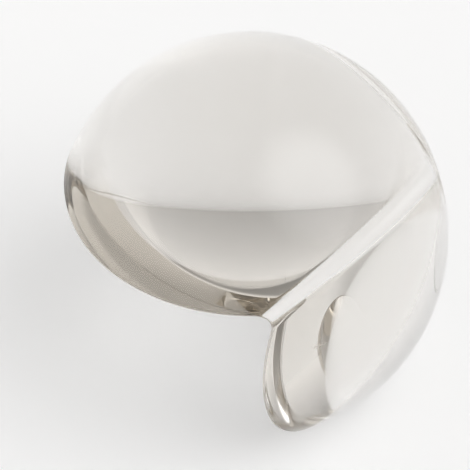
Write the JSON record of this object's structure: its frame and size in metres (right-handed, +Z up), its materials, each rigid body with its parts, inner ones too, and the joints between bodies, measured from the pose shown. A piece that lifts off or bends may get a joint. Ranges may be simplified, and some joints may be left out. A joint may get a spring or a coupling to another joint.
{
  "type": "furniture corner protector",
  "caption": "Clear ball-shaped soft plastic guard with a square notch that seats on the top and two sides of a table corner.",
  "frame": {"origin": "inner corner of the notch, where the furniture's corner point comes to lie", "axes": "+Z up from the furniture's top; the furniture fills -X, +Y and -Z; one skirt hangs at -Y, the other at +X"},
  "size_m": [0.0386, 0.0386, 0.0371],
  "materials": {
    "clear_soft_plastic": "colourless, clear and glossy soft PVC"
  },
  "bodies": {
    "root": {"protector_body": "clear_soft_plastic"}
  },
  "joints": []
}
